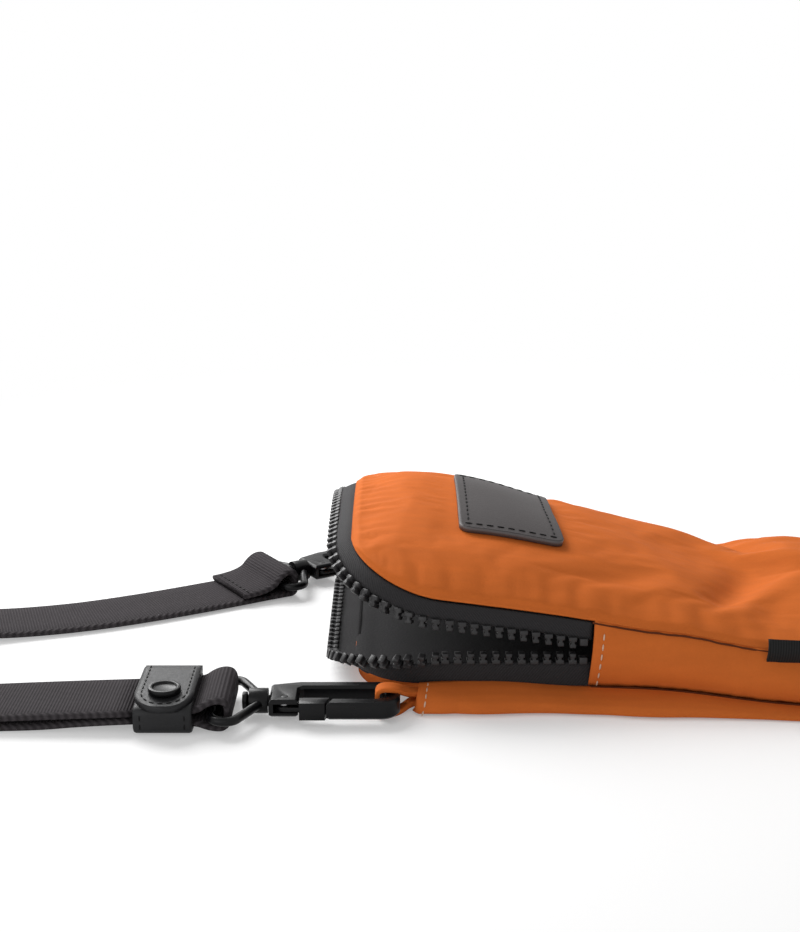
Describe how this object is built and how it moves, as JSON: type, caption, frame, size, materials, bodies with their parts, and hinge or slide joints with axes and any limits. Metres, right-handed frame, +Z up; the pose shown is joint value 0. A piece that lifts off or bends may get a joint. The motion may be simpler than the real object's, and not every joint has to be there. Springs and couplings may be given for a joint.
{
  "type": "phone pouch",
  "caption": "Padded cloth phone pouch lying open-mouthed, with a moulded zip round its mouth, a leather patch, and a webbing strap on swivel snap hooks with a snap keeper.",
  "frame": {"origin": "middle of the pouch's box without its strap, on the surface that it lies on", "axes": "+X from the mouth to the foot, +Y from the near side to the far side, +Z up from the surface"},
  "size_m": [0.4804, 0.1541, 0.0449],
  "materials": {
    "orange_cloth": "satin woven nylon",
    "foam": "soft foam",
    "lining": "plain weave",
    "zip_tape": "woven tape",
    "zip_teeth": "moulded",
    "dark_metal": "gloss black coat",
    "bare_steel": "plain",
    "patch_leather": "smooth with painted edges",
    "keeper_leather": "smooth",
    "label_weave": "woven label",
    "webbing": "ribbed webbing",
    "tie_tape": "thin tape"
  },
  "bodies": {
    "pouch": {"back_panel": "orange_cloth", "front_panel": "orange_cloth", "gusset_strip": "orange_cloth", "near_tab": "orange_cloth", "far_tab": "orange_cloth", "near_tab_anchor": "orange_cloth", "far_tab_anchor": "orange_cloth", "back_padding": "foam", "front_padding": "foam", "back_lining": "lining", "front_lining": "lining", "lower_zip_tape": "zip_tape", "near_upper_tape": "zip_tape", "far_upper_tape": "zip_tape", "lower_zip_teeth": "zip_teeth", "side_upper_teeth": "zip_teeth", "zip_stops": "zip_teeth", "snap_stud": "dark_metal", "near_swivel_ring": "dark_metal", "far_swivel_ring": "dark_metal", "leather_patch": "patch_leather", "keeper_band": "keeper_leather", "side_label": "label_weave", "near_strap_loop": "webbing", "near_strap_tail": "webbing", "near_strap_run": "webbing", "near_strap_twist": "webbing", "strap_roll": "webbing", "far_strap_twist": "webbing", "far_strap_run": "webbing", "far_strap_fold": "webbing", "strap_tie": "tie_tape"},
    "lip": {"lip_panel": "orange_cloth", "lip_padding": "foam", "lip_lining": "lining", "lip_zip_tape": "zip_tape", "lip_zip_teeth": "zip_teeth"},
    "slider": {"zip_slider": "dark_metal"},
    "pull": {"zip_pull": "dark_metal"},
    "near_hook": {"near_hook_frame": "dark_metal", "near_gate_pin": "bare_steel", "near_gate_spring": "bare_steel", "near_swivel_post": "dark_metal"},
    "near_gate": {"near_hook_gate": "dark_metal"},
    "far_hook": {"far_hook_frame": "dark_metal", "far_gate_pin": "bare_steel", "far_gate_spring": "bare_steel", "far_swivel_post": "dark_metal"},
    "far_gate": {"far_hook_gate": "dark_metal"},
    "flap": {"keeper_flap": "keeper_leather", "snap_cap": "dark_metal"}
  },
  "joints": [
    {"name": "lip_lift", "type": "hinge", "parent": "pouch", "child": "lip", "pos_m": [-0.0612, 0, 0.0435], "axis": [0, 1, 0], "range_deg": [-6, 40], "stiffness_Nm_per_rad": 0.05},
    {"name": "zip_slide", "type": "slide", "parent": "pouch", "child": "slider", "axis": [-1, 0, 0], "range_m": [0, 0.016]},
    {"name": "pull_swing", "type": "hinge", "parent": "slider", "child": "pull", "pos_m": [-0.0312, 0.06, 0.01696], "axis": [0, 0, 1], "range_deg": [0, 165]},
    {"name": "near_hook_swivel", "type": "hinge", "parent": "pouch", "child": "near_hook", "pos_m": [-0.11295, -0.0652, 0.0045], "axis": [1, 0, 0], "range_deg": [-10, 10]},
    {"name": "near_gate_swing", "type": "hinge", "parent": "near_hook", "child": "near_gate", "pos_m": [-0.10875, -0.0682, 0.0045], "axis": [0, 0, 1], "range_deg": [0, 25], "stiffness_Nm_per_rad": 0.02, "springref_deg": -11.46},
    {"name": "far_hook_swivel", "type": "hinge", "parent": "pouch", "child": "far_hook", "pos_m": [-0.10888, 0.04901, 0.0045], "axis": [0.848, 0.5299, 0], "range_deg": [-8, 8]},
    {"name": "far_gate_swing", "type": "hinge", "parent": "far_hook", "child": "far_gate", "pos_m": [-0.10373, 0.04869, 0.0045], "axis": [0, 0, 1], "range_deg": [0, 25], "stiffness_Nm_per_rad": 0.02, "springref_deg": -11.46},
    {"name": "keeper_flap_lift", "type": "hinge", "parent": "pouch", "child": "flap", "pos_m": [-0.14095, -0.0521, 0.0085], "axis": [-1, 0, 0], "range_deg": [0, 110]}
  ]
}
